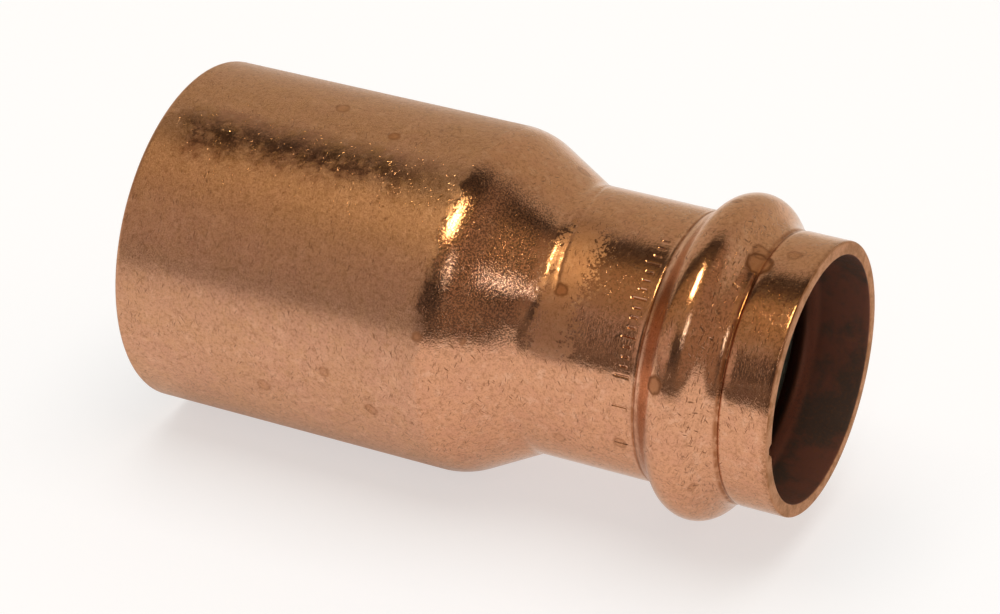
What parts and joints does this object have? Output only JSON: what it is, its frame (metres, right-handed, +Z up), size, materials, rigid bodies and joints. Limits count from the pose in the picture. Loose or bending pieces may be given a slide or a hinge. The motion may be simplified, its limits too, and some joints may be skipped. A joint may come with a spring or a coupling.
{
  "type": "concentric press reducer",
  "caption": "Copper press-fit concentric reducer: a plain spigot tapers to a smaller socket whose rounded bead holds a rubber sealing ring.",
  "frame": {"origin": "on the reducer's axis, halfway along its length, which is the centre of its bounding box", "axes": "X runs along the reducer's axis, with +X out of the small beaded socket's mouth and -X out of the large plain spigot; +Z is up with the reducer lying on its side"},
  "size_m": [0.0806, 0.0412, 0.0412],
  "materials": {
    "copper": "drawn copper, satin, tarnished brown in patches, darker oxide in the bore",
    "seal_rubber": "black EPDM, matt with a thin film of silicone grease"
  },
  "bodies": {
    "root": {"copper_body": "copper", "sealing_ring": "seal_rubber"}
  },
  "joints": []
}
